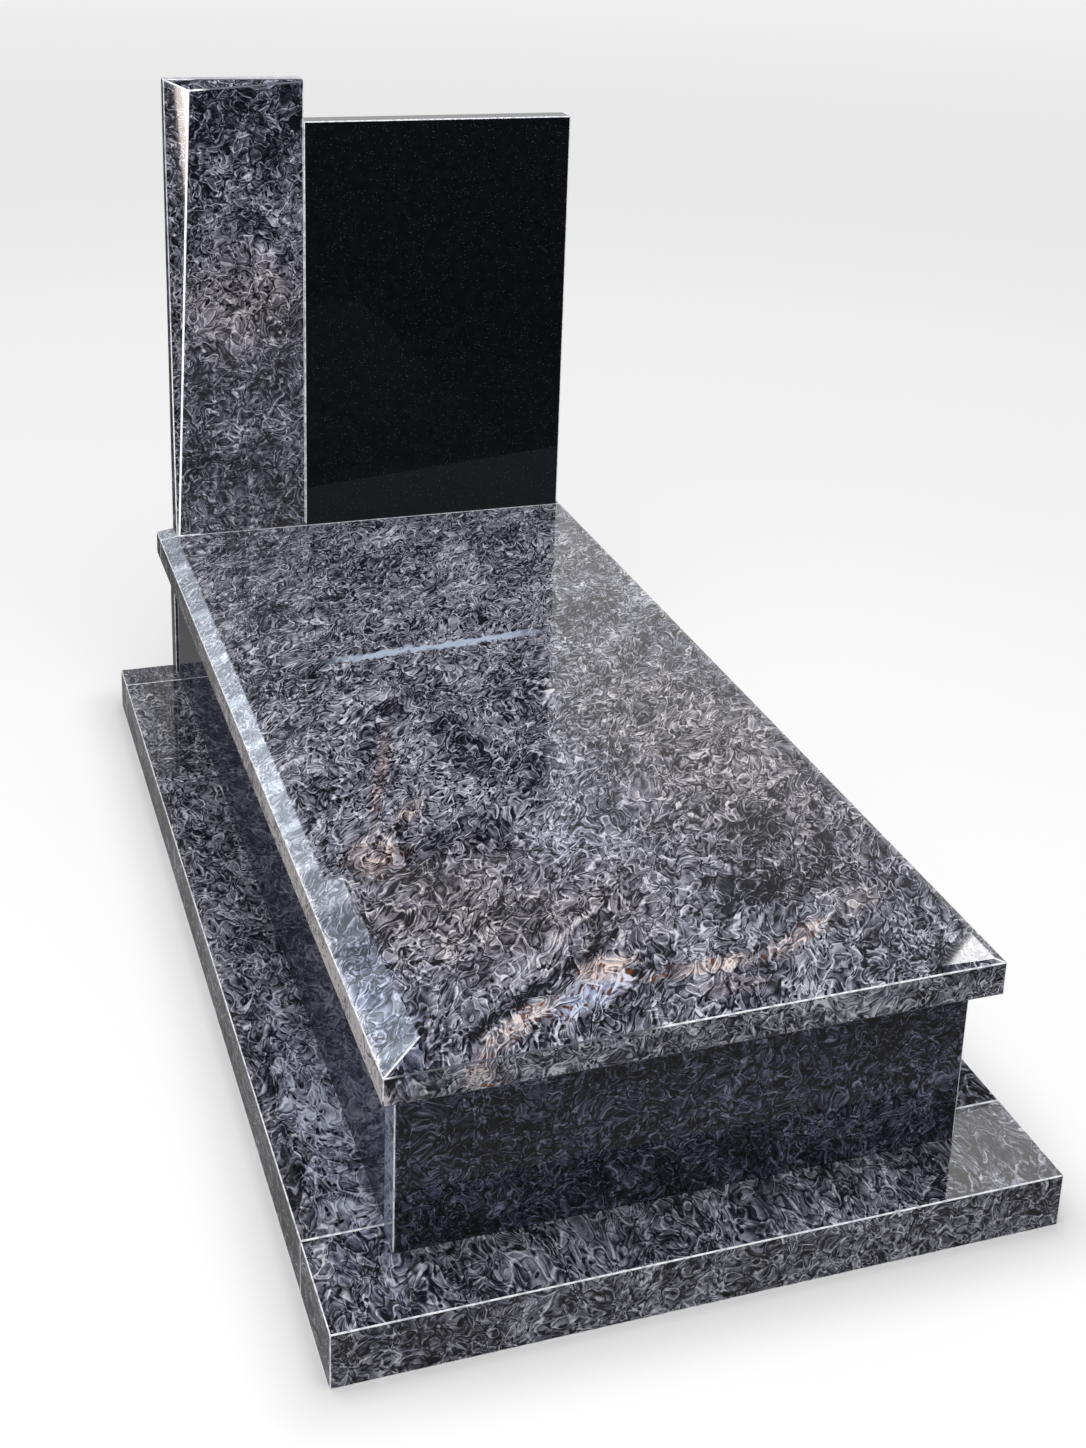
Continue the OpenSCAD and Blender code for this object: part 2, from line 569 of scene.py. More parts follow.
    def zone_sums(self, graph: Graph, here: Link, place: Link) -> tuple["Link | float", ...]:
        """What the zones add up to: lift, warm, cool and rust, as Links or 0.

        Args:
            graph: The material's graph.
            here: The point on the stone, in metres.
            place: The point in the block, in centimetres.

        Returns:
            The four sums.
        """
        sums = [0.0, 0.0, 0.0, 0.0]
        if not self.zones:
            return tuple(sums)
        rim = graph.noise(place, self.RIM_SIZE, self.RIM_DETAIL, self.RIM_ROUGH) - 0.5
        ragged = rim * self.RIM_REACH
        for zone in self.zones:
            mask = graph.step(zone.spread(graph, here) + ragged, *self.RIM_EDGE)
            for which, share in enumerate((zone.lift, zone.warm, zone.cool, zone.rust)):
                if share:
                    sums[which] = mask * share + sums[which]
        return tuple(sums)

    def with_veins(self, graph: Graph, here: Link, place: Link, colour: Link) -> Link:
        """Lays the pale veins over the pattern.

        Args:
            graph: The material's graph.
            here: The point on the stone, in metres.
            place: The point in the block, in centimetres.
            colour: The pattern's colour.

        Returns:
            The colour with the veins.
        """
        for vein in self.veins:
            start = Vector(vein.start)
            along = Vector(vein.end) - start
            run = along.length
            line = along.normalized()
            offset = graph.vector("SUBTRACT", here, tuple(start))
            travel = graph.dot(offset, tuple(line))
            beside = graph.length(graph.vector("CROSS_PRODUCT", offset, tuple(line)))
            side = graph.noise(place, self.SIDE_SIZE, self.SIDE_DETAIL) - 0.5
            ragged = side * (vein.half_width * self.SIDE_REACH)
            mask = graph.step(beside + ragged, vein.half_width, vein.half_width * self.VEIN_CORE)
            fade = vein.half_width * self.VEIN_TAPER
            ends = graph.step(travel, 0.0, fade) * graph.step(travel, run, run - fade)
            colour = graph.mix(mask * ends * self.VEIN_COVER, colour, self.VEIN)
        return colour


@dataclass(frozen=True)
class BlackGranite:
    """Polished black granite with a fine pale sparkle, and a painted reflection of the slab: greyer in a
    slanting band at its foot.
    """

    BLACK = shade(15, 17, 21)
    CLOUD = shade(22, 24, 29)
    CLOUD_SIZE, CLOUD_DETAIL, CLOUD_ROUGH = 2.0, 4.0, 0.7
    CLOUD_EDGE = (0.35, 0.7)
    SPARK = shade(104, 108, 118)
    SPARK_SIZE, SPARK_EDGE, SPARK_COVER = 0.32, (0.32, 0.12), 0.7
    SPARK_CHOSEN = (0.8, 0.9)
    # A painted reflection of the slab: the stele turns greyer below a slanting line at its foot
    FOOT = shade(34, 36, 42)
    FOOT_TOP, FOOT_SLOPE, FOOT_EDGE = 0.472, 0.09, (0.002, -0.002)
    IOR = 1.5
    SPECULAR = 0.06
    ROUGHNESS = 0.04

    def material(self, name: str) -> bpy.types.Material:
        """The finish as a material.

        Args:
            name: The material's name.

        Returns:
            The material.
        """
        made = bpy.data.materials.new(name)
        graph = Graph(made)
        here = graph.here()
        place = graph.vector("SCALE", here, scale=CM)
        clouds = graph.noise(place, self.CLOUD_SIZE, self.CLOUD_DETAIL, self.CLOUD_ROUGH)
        colour = graph.mix(graph.step(clouds, *self.CLOUD_EDGE), self.BLACK, self.CLOUD)
        # Below the slanting line the colour turns greyer, a painted reflection of the slab
        apart = graph.node("ShaderNodeSeparateXYZ", {}, {0: here}, output="Z")
        above = apart - apart.other("X") * self.FOOT_SLOPE - self.FOOT_TOP
        colour = graph.mix(graph.step(above, *self.FOOT_EDGE), colour, self.FOOT)
        grains = graph.cells(place, self.SPARK_SIZE)
        chosen = graph.step(graph.cell_value(grains), *self.SPARK_CHOSEN)
        sparks = graph.step(grains, *self.SPARK_EDGE) * chosen * self.SPARK_COVER
        colour = graph.mix(sparks, colour, self.SPARK)
        graph.surface(
            {
                "Base Color": colour,
                "Roughness": self.ROUGHNESS,
                "IOR": self.IOR,
                "Specular IOR Level": self.SPECULAR,
            }
        )
        return made


@dataclass(frozen=True)
class GroundArris:
    """The narrow eased edge of a stone, paler than its polished faces, and glowing a little as a painted
    highlight.

    Attributes:
        pale: Its usual colour.
        dull: Its colour where it is worn.
        stone: Its colour where it is hardly paler than the stone.
        painted_highlight_colour: The colour of the painted highlight, where a stronger one is painted on.
        roughness: How rough it is.
        painted_glint: How strongly it glows as a painted highlight, a little everywhere so that it shows as a
            fine pale line.
        plain: Where it is hardly paler than the stone, and its painted highlight dims with it.
        painted_highlights: Where a stronger highlight is painted on, as if ground stone there faced a lamp.
    """

    pale: Colour = shade(243, 244, 248)
    dull: Colour = shade(190, 192, 199)
    stone: Colour = shade(88, 88, 98)
    # The painted highlight's colour, above 1 so that the glow is strong
    painted_highlight_colour: Colour = (3.0, 3.0, 3.0, 1.0)
    roughness: float = 0.2
    # Every arris glows a little: a painted highlight
    painted_glint: float = 0.2
    plain: tuple[Zone, ...] = ()
    painted_highlights: tuple[Zone, ...] = ()

    WEAR_SIZE, WEAR_DETAIL, WEAR_ROUGH = 1.1, 3.0, 0.6
    WEAR_EDGE = (0.4, 0.65)
    IOR = 1.5

    def material(self, name: str) -> bpy.types.Material:
        """The finish as a material.

        Args:
            name: The material's name.

        Returns:
            The material.
        """
        made = bpy.data.materials.new(name)
        graph = Graph(made)
        here = graph.here()
        place = graph.vector("SCALE", here, scale=CM)
        wear = graph.noise(place, self.WEAR_SIZE, self.WEAR_DETAIL, self.WEAR_ROUGH)
        colour = graph.mix(graph.step(wear, *self.WEAR_EDGE), self.pale, self.dull)
        for zone in self.plain:
            colour = graph.mix(zone.mask(graph, here), colour, self.stone)
        # The glow is a painted highlight, in the arris's own colour, stronger where one is painted on
        glow = colour
        for zone in self.painted_highlights:
            glow = graph.mix(zone.mask(graph, here), glow, self.painted_highlight_colour)
        graph.surface(
            {
                "Base Color": colour,
                "Roughness": self.roughness,
                "IOR": self.IOR,
                "Emission Color": glow,
                "Emission Strength": self.painted_glint,
            }
        )
        return made


# --------------------------------------------------------------------------------------
# Stones
# --------------------------------------------------------------------------------------


@dataclass
class Cut:
    """A sawn plane through three points, which run anticlockwise seen from outside; what is outside goes."""

    first: Vector
    second: Vector
    third: Vector

    def normal(self) -> Vector:
        """The plane's outward direction."""
        return (self.second - self.first).cross(self.third - self.first).normalized()


def stone_name(node: str) -> str:
    """The name of the piece that stands for a node."""
    return node + "_stone"


class Stone:
    """One stone: a sawn block, cut by planes, with an eased arris on its edges."""

    SHARP = math.radians(12)
    ARRIS_STEPS = 2
    SNAP = 1e-7

    def __init__(self, node: str, slot: Slot, arris: float, cuts: tuple[Cut, ...] = ()) -> None:
        """Settles a stone.

        Args:
            node: The CAD node that it stands for.
            slot: Its material slot in the record; not used.
            arris: The width of its eased edges.
            cuts: The planes that shape it.
        """
        self.node = node
        self.slot = slot
        self.arris = arris
        self.cuts = cuts

    def mesh(self) -> bpy.types.Mesh:
        """The stone's mesh, in the CAD's place.

        Returns:
            The mesh, still without materials.
        """
        low, high = (Vector(corner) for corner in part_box(self.node))
        work = bmesh.new()
        bmesh.ops.create_cube(work, size=1.0)
        middle = (low + high) / 2
        size = high - low
        placed = Matrix.Translation(middle) @ Matrix.Diagonal((*size, 1.0))
        bmesh.ops.transform(work, matrix=placed, verts=work.verts)
        for cut in self.cuts:
            self.saw(work, cut)
        self.ease(work)
        made = bpy.data.meshes.new(stone_name(self.node))
        work.to_mesh(made)
        work.free()
        return made

    @staticmethod
    def saw(work: bmesh.types.BMesh, cut: Cut) -> None:
        """Takes off what lies outside a plane, and closes the stone again.

        Args:
            work: The stone.
            cut: The plane.
        """
        result = bmesh.ops.bisect_plane(
            work,
            geom=[*work.verts, *work.edges, *work.faces],
            dist=Stone.SNAP,
            plane_co=cut.first,
            plane_no=cut.normal(),
            clear_outer=True,
        )
        rim = [item for item in result["geom_cut"] if isinstance(item, bmesh.types.BMEdge)]
        bmesh.ops.contextual_create(work, geom=rim)
        bmesh.ops.recalc_face_normals(work, faces=work.faces)

    def ease(self, work: bmesh.types.BMesh) -> None:
        """Rounds every sharp edge, and marks what that makes as arris.

        Args:
            work: The stone.
        """
        sharp = [edge for edge in work.edges if edge.calc_face_angle(0.0) > self.SHARP]
        result = bmesh.ops.bevel(
            work,
            geom=sharp,
            offset=self.arris,
            offset_type="OFFSET",
            segments=self.ARRIS_STEPS,
            profile=0.5,
            affect="EDGES",
            clamp_overlap=True,
        )
        for face in result["faces"]:
            face.material_index = Facet.ARRIS.value

    def piece(self, polished: bpy.types.Material, edge: bpy.types.Material) -> bpy.types.Object:
        """The dressed stone, riding on the CAD.

        Args:
            polished: The material of its faces.
            edge: The material of its arrises.

        Returns:
            The piece.
        """
        mesh = self.mesh()
        dress = {Facet.POLISHED: polished, Facet.ARRIS: edge}
        for facet in Facet:
            mesh.materials.append(dress[facet])
        made = bpy.data.objects.new(stone_name(self.node), mesh)
        bpy.context.scene.collection.objects.link(made)
        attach(made, BODY)
        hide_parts(self.node)
        faces = len(mesh.polygons)
        log.info("%s stands for %s, %d faces", made.name, self.node, faces)
        return made


# --------------------------------------------------------------------------------------
# Sub-assemblies
# --------------------------------------------------------------------------------------


@dataclass
class Course:
    """A course of plain stones of blue granite.

    Attributes:
        nodes: The CAD nodes that its stones stand for.
        seats: Where in the quarry block each stone is sawn from, in centimetres.
        turns: How each stone lies in the block, in degrees.
        lift: How much paler its stones are, or darker below 0.
        body: A colour that its stones are multiplied by.
        zones: The patches of its stones that differ from the rest.
        stretch: How far the pattern is drawn out, along the block's axes.
        calm: How far the pattern is evened out, from 0 to 1.
        specular: How strongly its polish mirrors, on the shader's scale.
        arris: The width of the eased edges.
    """

    nodes: tuple[str, ...]
    seats: tuple[Triple, ...]
    turns: tuple[Triple, ...]
    lift: float = 0.0
    body: Colour = (1.0, 1.0, 1.0, 1.0)
    zones: tuple[Zone, ...] = ()
    stretch: Triple = (1.0, 1.0, 1.0)
    calm: float = 0.0
    specular: float = 0.5
    arris: float = 0.0016

    def build(self, edge: bpy.types.Material) -> list[bpy.types.Object]:
        """Builds the course's stones.

        Args:
            edge: The material of the arrises.

        Returns:
            The pieces.
        """
        made = []
        for node, seat, turn in zip(self.nodes, self.seats, self.turns):
            finish = BlueGranite(
                seat,
                turn,
                zones=self.zones,
                lift=self.lift,
                body=self.body,
                stretch=self.stretch,
                calm=self.calm,
                specular=self.specular,
            )
            stone = Stone(node, Slot.BLUE, self.arris)
            made.append(stone.piece(finish.material(node + "_granite"), edge))
        return made


@dataclass
class Cover:
    """The cover slab and the strip under the headstone, worked as one plate with three tapered bevels.

    Attributes:
        left_bevel_front: Width of the left bevel at the front corner.
        left_bevel_back: Width of the left bevel at the back edge.
        front_bevel_left: Depth of the front bevel at the left corner.
        front_bevel_right: Depth of the front bevel at the right corner.
        bevel_drop: Drop of both bevels at the front left corner.
        right_bevel_front: Width of the right bevel at the front corner.
        right_bevel_back: Width of the right bevel at the back edge.
        right_bevel_drop: Drop of the right bevel at the front corner.
        arris: The width of the eased edges.
        seat: Where in the quarry block the plate is sawn from, in centimetres.
        turn: How the plate lies in the block, in degrees.
        stretch: How far the pattern is drawn out, along the block's axes.
        vein: The pale vein across the slab.
        quiet_edges: Where the arrises are hardly paler than the stone: on the front bevel and along the foot.
        top: The height of the slab's top.
        patch_depth: How far a patch of the top reaches down.
    """

    left_bevel_front: float = 0.060
    left_bevel_back: float = 0.032
    front_bevel_left: float = 0.058
    front_bevel_right: float = 0.009
    bevel_drop: float = 0.0105
    right_bevel_front: float = 0.012
    right_bevel_back: float = 0.005
    right_bevel_drop: float = 0.002
    arris: float = 0.0016
    seat: Triple = (140.0, 60.0, 25.0)
    turn: Triple = (0.0, 0.0, 60.0)
    stretch: Triple = (1.8, 1.0, 1.0)
    vein: Vein = Vein((-0.26, 0.247, 0.38), (0.192, 0.282, 0.38), half_width=0.014)
    quiet_edges: tuple[Zone, ...] = (
        Zone((-0.205, -0.86, 0.37), (0.145, 0.06, 0.025)),
        Zone((-0.330, -0.884, 0.371), (0.085, 0.012, 0.02)),
        Zone((0.0, -0.88, 0.33), (0.6, 0.02, 0.012)),
    )
    top: float = 0.38
    patch_depth: float = 0.3

    def cuts(self) -> tuple[Cut, ...]:
        """The planes of the three bevels, over the slab and the strip together.

        Returns:
            The left, the front and the right bevel.
        """
        low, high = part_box("cover_slab")
        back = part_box("headstone_base")[1][1]
        left, front, right, top = low[0], low[1], high[0], high[2]
        corner = Vector((left, front, top - self.bevel_drop))
        left_cut = Cut(
            corner,
            Vector((left + self.left_bevel_front, front, top)),
            Vector((left + self.left_bevel_back, back, top)),
        )
        front_cut = Cut(
            corner,
            Vector((right, front + self.front_bevel_right, top)),
            Vector((left, front + self.front_bevel_left, top)),
        )
        right_cut = Cut(
            Vector((right, front, top - self.right_bevel_drop)),
            Vector((right - self.right_bevel_back, back, top)),
            Vector((right - self.right_bevel_front, front, top)),
        )
        return (left_cut, front_cut, right_cut)

    def patch(
        self,
        x: float,
        y: float,
        reach_x: float,
        reach_y: float,
        turn: float = 0.0,
        **tint: float,
    ) -> Zone:
        """A patch of the slab's top.

        Args:
            x: Its middle, to the right.
            y: Its middle, to the back.
            reach_x: Half its length before it is turned.
            reach_y: Half its width before it is turned.
            turn: How far it is turned, in degrees.
            tint: Its lift, warm, cool and rust, as in a Zone.

        Returns:
            The patch.
        """
        return Zone((x, y, self.top), (reach_x, reach_y, self.patch_depth), turn, **tint)

    def patches(self) -> tuple[Zone, ...]:
        """Where the slab differs from the rest of its granite.

        Returns:
            The patches, those near the front corner first.
        """
        return (
            # Peach-coloured drifts with rusty flecks, and a bluish one between them
            self.patch(-0.235, -0.832, 0.095, 0.020, 33.0, lift=0.24, warm=0.6, rust=1.0),
            self.patch(-0.090, -0.752, 0.050, 0.030, 25.0, lift=0.28, warm=1.0, rust=0.8),
            self.patch(0.040, -0.783, 0.110, 0.020, 3.0, lift=0.22, warm=0.7, rust=0.8),
            self.patch(0.185, -0.748, 0.070, 0.020, 25.0, lift=0.18, warm=0.7, rust=1.0),
            self.patch(-0.130, -0.800, 0.080, 0.030, 30.0, lift=0.32, cool=0.8, rust=0.5),
            # The dark streak and the short pale one behind them
            self.patch(-0.200, -0.775, 0.170, 0.013, 32.0, lift=-0.45),
            self.patch(-0.088, -0.636, 0.050, 0.007, 40.0, lift=0.45),
            # Wide warm tints at the left and the right
            self.patch(-0.180, -0.560, 0.260, 0.200, warm=0.4),
            self.patch(0.280, -0.250, 0.200, 0.500, warm=0.35),
            # The left bevel's outer edge and the slab's side below it, paler and warmer as a painted
            # reflection of the floor over the real one, and the front bevel
            Zone((-0.424, -0.700, 0.35), (0.012, 1.100, 0.06), lift=0.6, warm=0.4),
            Zone((0.000, -0.884, 0.35), (0.700, 0.010, 0.06), lift=0.1),
            # Darker drifts at the right, and a paler bluish one beside them
            self.patch(0.200, -0.620, 0.170, 0.060, 25.0, lift=-0.16),
            self.patch(0.240, -0.470, 0.100, 0.050, 45.0, lift=-0.16),
            self.patch(-0.060, -0.470, 0.140, 0.090, 40.0, lift=0.08, cool=0.4),
            # Smaller warm spots and streaks
            self.patch(-0.310, -0.400, 0.050, 0.060, lift=0.02, warm=0.7, rust=0.3),
            self.patch(-0.235, -0.300, 0.070, 0.014, 55.0, lift=0.05, warm=0.8),
            self.patch(0.055, -0.830, 0.060, 0.025, lift=0.10, warm=0.4),
            self.patch(0.300, -0.700, 0.090, 0.025, 35.0, lift=0.12, warm=0.3),
            self.patch(-0.235, -0.150, 0.210, 0.012, 72.0, warm=0.7, rust=0.3),
            # Darker stone in the middle and at the headstone's foot
            self.patch(-0.080, -0.150, 0.050, 0.110, lift=-0.14),
            self.patch(-0.300, 0.760, 0.160, 0.080, lift=-0.1),
            # The bluish band along the left bevel
            Zone((-0.390, -0.720, 0.375), (0.040, 0.240, 0.03), lift=-0.02, cool=1.0),
        )

    def build(self) -> list[bpy.types.Object]:
        """Builds the slab and the strip.

        Returns:
            The pieces.
        """
        finish = BlueGranite(self.seat, self.turn, self.patches(), (self.vein,), stretch=self.stretch)
        granite = finish.material("cover_granite")
        edge = GroundArris(plain=self.quiet_edges).material("cover_arris")
        slab = Stone("cover_slab", Slot.BLUE, self.arris, self.cuts())
        strip = Stone("headstone_base", Slot.BLUE, self.arris, self.cuts())
        return [slab.piece(granite, edge), strip.piece(granite, edge)]


@dataclass
class Headstone:
    """The column, bevelled up its left side and over its top, and the black stele beside it.

    Attributes:
        side_bevel_top: Width of the side bevel on the column's front face, at the mitre near the top.
        side_bevel_foot: Width of the side bevel on the column's front face, at the foot.
        side_bevel_depth: Depth of both bevels on the column's left side, at the top.
        top_bevel_left: Drop of the top bevel at the mitre.
        top_bevel_right: Drop of the top bevel at the column's right side.
        arris: The width of the eased edges.
        seat: Where in the quarry block the column is sawn from, in centimetres.
        turn: How the column lies in the block, in degrees.
        stretch: How far the column's pattern is drawn out, along the block's axes.
        lift: How much paler the column is than other stones, or darker below 0.
        body: A colour that the column is multiplied by.
        patches: Where the column differs from the rest: warmer at its middle, darker at its top.
        quiet_edges: Where its arrises are hardly paler than the stone: round its top and at its foot.
        painted_slant_highlight: Where a highlight is painted on its long slanting arris, as a glow.
    """

    side_bevel_top: float = 0.043
    side_bevel_foot: float = 0.005
    side_bevel_depth: float = 0.025
    top_bevel_left: float = 0.018
    top_bevel_right: float = 0.004
    arris: float = 0.002
    seat: Triple = (-210.0, 95.0, 310.0)
    turn: Triple = (15.0, 0.0, 0.0)
    stretch: Triple = (1.15, 1.15, 1.15)
    lift: float = -0.09
    body: Colour = (1.18, 1.18, 1.19, 1.0)
    patches: tuple[Zone, ...] = (
        Zone((-0.25, 0.90, 0.85), (0.14, 0.1, 0.12), lift=0.12, warm=0.4),
        Zone((-0.25, 0.90, 1.24), (0.20, 0.1, 0.10), lift=-0.08),
    )
    quiet_edges: tuple[Zone, ...] = (
        Zone((-0.22, 0.925, 1.275), (0.115, 0.06, 0.03)),
        Zone((-0.24, 0.90, 0.38), (0.14, 0.03, 0.012)),
    )
    # A highlight painted as a glow on the column's long slanting arris
    painted_slant_highlight: Zone = Zone((-0.363, 0.90, 0.82), (0.03, 0.02, 0.7))

    def column_cuts(self) -> tuple[Cut, ...]:
        """The planes of the column's two bevels, which meet in a mitre.

        Returns:
            The side bevel and the top bevel.
        """
        low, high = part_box("column")
        left, front, foot = low
        right, top = high[0], high[2]
        mitre_front = Vector((left + self.side_bevel_top, front, top - self.top_bevel_left))
        mitre_back = Vector((left, front + self.side_bevel_depth, top))
        side = Cut(mitre_front, mitre_back, Vector((left + self.side_bevel_foot, front, foot)))
        over = Cut(mitre_front, Vector((right, front, top - self.top_bevel_right)), mitre_back)
        return (side, over)

    def build(self, edge: bpy.types.Material) -> list[bpy.types.Object]:
        """Builds the column and the stele.

        Args:
            edge: The material of the arrises.

        Returns:
            The pieces.
        """
        column = Stone("column", Slot.BLUE, self.arris, self.column_cuts())
        stele = Stone("stele", Slot.BLACK, self.arris)
        finish = BlueGranite(
            self.seat,
            self.turn,
            self.patches,
            lift=self.lift,
            body=self.body,
            stretch=self.stretch,
        )
        blue = finish.material("column_granite")
        black = BlackGranite().material("stele_granite")
        eased = GroundArris(plain=self.quiet_edges, painted_highlights=(self.painted_slant_highlight,)).material("column_arris")
        return [column.piece(blue, eased), stele.piece(black, edge)]


# --------------------------------------------------------------------------------------
# Studio
# --------------------------------------------------------------------------------------


BLUE_LIGHT: Triple = (0.78, 0.885, 1.0)
WARM_LIGHT: Triple = (1.0, 0.87, 0.80)
# A point on the column's side bevel, and how a lamp lies that the bevel mirrors as a wedge
COLUMN_BEVEL: Triple = (-0.36, 0.9, 1.05)
WEDGE_RUNS: Triple = (-0.062, 0.060, 0.996)


@dataclass
class Lamp:
    """A soft box.

    Attributes:
        name: Its name.
        place: Where it hangs.
        target: What it looks at.
        size: Its width and height.
        power: Watts.
        width_runs: Which way its width runs.
        colour: The colour of its light.
        diffuse: Whether it lights surfaces, as well as being mirrored in them.
        gloss: Whether polished stone mirrors it.
        only: The nodes whose stones it is for, or none when it is for everything.
    """

    name: str
    place: Triple
    target: Triple
    size: tuple[float, float]
    power: float
    width_runs: Triple = (1.0, 0.0, 0.0)
    colour: Triple = (1.0, 1.0, 1.0)
    diffuse: bool = True
    gloss: bool = True
    only: tuple[str, ...] = ()

    def build(self) -> bpy.types.Object:
        """Hangs the lamp.

        Returns:
            The lamp.
        """
        data = bpy.data.lights.new(self.name, "AREA")
        data.shape = "RECTANGLE"
        data.size, data.size_y = self.size
        data.energy = self.power
        data.color = self.colour
        made = bpy.data.objects.new(self.name, data)
        back = (Vector(self.place) - Vector(self.target)).normalized()
        height = back.cross(Vector(self.width_runs)).normalized()
        width = height.cross(back)
        turned = Matrix((width, height, back)).transposed().to_4x4()
        made.matrix_world = Matrix.Translation(self.place) @ turned
        made.visible_camera = False
        made.visible_diffuse = self.diffuse
        made.visible_glossy = self.gloss
        bpy.context.scene.collection.objects.link(made)
        if self.only:
            stones = bpy.data.collections.new(self.name + "_stones")
            for node in self.only:
                stones.objects.link(bpy.data.objects[stone_name(node)])
            made.light_linking.receiver_collection = stones
        return made


@dataclass
class Studio:
    """The plain pale floor, the backdrop, the soft boxes and the camera.

    Attributes:
        floor_half: Half the floor's side.
        floor_colour: The floor's colour, but for what polished stone mirrors of it.
        floor_lift: How light the floor looks to the camera by itself, at its middle.
        floor_tones: How it grows lighter outwards: from, to, and by how much, near and then far.
        contact_shade: How much darker the painted shadow makes the floor right beside the kerb.
        contact_reach: How far that painted shadow reaches.
        contact_curve: How quickly it fades.
        floor_near: The colour that polished stone mirrors of the floor close by.
        floor_away: The colour that it mirrors of the floor further off.
        floor_turn: How far out the one gives way to the other, from and to.
        backdrop: How light the backdrop looks to the camera.
        gloss_backdrop: How light the wall is that polished stone mirrors.
        gloss_ceiling: How light everything else is that it mirrors.
        wall_side: Where that wall starts, left to right, as the x of a direction of length 1.
        wall_top: Where it ends, high to low, as the z of such a direction.
        sky: How strongly the world lights the stones.
        camera_place: Where the camera stands.
        camera_pitch: How far it looks up, in degrees.
        camera_yaw: How far it looks to the right of straight ahead, in degrees.
        camera_roll: How far it leans, in degrees.
        camera_lens: Its focal length in millimetres.
        camera_sensor: Its sensor's longer side in millimetres.
        camera_shift: How far its frame is shifted upwards.
        camera_reach: How far it sees.
        bevel_steps: How many narrow boxes the slab's left bevel mirrors.
        bevel_lamp_width: How wide they are.
        bevel_lamp_place: Where they hang, to the right and to the back.
        bevel_lamp_target: What they look at.
        bevel_glow: Heights above the ground, each with how strongly the boxes glow there.
        lamps: The other soft boxes.
    """

    floor_half: float = 45.0
    floor_colour: Colour = (0.66, 0.66, 0.66, 1.0)
    floor_lift: float = 0.37
    floor_tones: tuple[Triple, Triple] = ((1.5, 4.5, 0.1), (2.0, 18.0, 0.14))
    contact_shade: float = 0.17
    contact_reach: float = 0.14
    contact_curve: float = 1.5
    floor_near: Colour = (0.3, 0.29, 0.28, 1.0)
    floor_away: Colour = (0.06, 0.06, 0.06, 1.0)
    floor_turn: tuple[float, float] = (1.0, 2.2)
    backdrop: float = 0.87
    gloss_backdrop: float = 1.1
    gloss_ceiling: float = 0.12
    wall_side: tuple[float, float] = (0.0, 0.2)
    wall_top: tuple[float, float] = (0.56, 0.33)
    sky: float = 0.4
    camera_place: Triple = (-0.9170, -2.7847, 1.8154)
    camera_pitch: float = -18.128
    camera_yaw: float = 19.342
    camera_roll: float = 1.973
    camera_lens: float = 48.99
    camera_sensor: float = 36.0
    camera_shift: float = -0.2
    camera_reach: float = 200.0
    bevel_steps: int = 14
    bevel_lamp_width: float = 0.26
    bevel_lamp_place: tuple[float, float] = (-0.4, 3.0)
    bevel_lamp_target: Triple = (-0.4, 0.0, 0.37)
    bevel_glow: tuple[tuple[float, float], ...] = (
        (1.2, 1.8),
        (1.37, 1.5),
        (1.5, 2.4),
        (1.8, 3.3),
        (2.05, 4.4),
        (2.45, 4.4),
        (2.75, 2.4),
        (2.9, 1.2),
        (3.1, 0.8),
        (3.25, 2.4),
        (3.6, 3.4),
    )
    lamps: tuple[Lamp, ...] = (
        Lamp(
            "overhead_box",
            place=(-0.4, -0.6, 4.4),
            target=(0.0, 0.0, 0.3),
            size=(3.4, 3.8),
            power=150.0,
            gloss=False,
        ),
        Lamp(
            "right_box",
            place=(29.26, 40.99, 32.27),
            target=(0.41, -0.88, 0.38),
            size=(3.4, 2.2),
            power=215.0,
            width_runs=(-0.683, -0.159, 0.712),
            diffuse=False,
            only=("cover_slab",),
        ),
        Lamp(
            "kerb_box",
            place=(3.1, 2.85, 3.55),
            target=(0.45, -0.87, 0.08),
            size=(1.1, 0.45),
            power=3.4,
            diffuse=False,
            only=("kerb_front", "kerb_right"),
        ),
        Lamp(
            "left_strip",
            place=(-2.068, -0.541, 0.842),
            target=COLUMN_BEVEL,
            size=(0.45, 0.035),
            power=1.3,
            width_runs=WEDGE_RUNS,
            diffuse=False,
            only=("column",),
        ),
        Lamp(
            "warm_strip",
            place=(-2.093, -0.527, 0.840),
            target=COLUMN_BEVEL,
            size=(0.45, 0.024),
            power=0.6,
            width_runs=WEDGE_RUNS,
            colour=WARM_LIGHT,
            diffuse=False,
            only=("column",),
        ),
        Lamp(
            "front_box",
            place=(1.6, -4.6, 3.4),
            target=(0.1, 0.9, 0.4),
            size=(4.0, 2.2),
            power=28.0,
            diffuse=False,
        ),
    )

    def glow_at(self, height: float) -> float:
        """The glow of the boxes behind the monument at a height.

        Args:
            height: Metres above the ground.

        Returns:
            The glow, between the two nearest of bevel_glow.
        """
        for (low, before), (high, after) in zip(self.bevel_glow, self.bevel_glow[1:]):
            if height <= high:
                return before + (after - before) * (height - low) / (high - low)
        return self.bevel_glow[-1][1]

    def bevel_boxes(self) -> list[Lamp]:
        """The narrow boxes behind the monument that the slab's left bevel mirrors.

        Returns:
            The boxes, from the lowest to the highest.
        """
        boxes = []
        low, high = self.bevel_glow[0][0], self.bevel_glow[-1][0]
        tall = (high - low) / self.bevel_steps
        area = self.bevel_lamp_width * tall
        for step in range(self.bevel_steps):
            height = low + tall * (step + 0.5)
            boxes.append(
                Lamp(
                    f"bevel_box_{step + 1}",
                    place=(*self.bevel_lamp_place, height),
                    target=self.bevel_lamp_target,
                    size=(self.bevel_lamp_width, tall),
                    power=self.glow_at(height) * math.pi * area,
                    colour=BLUE_LIGHT,
                    diffuse=False,
                    only=("cover_slab", "headstone_base"),
                )
            )
        return boxes

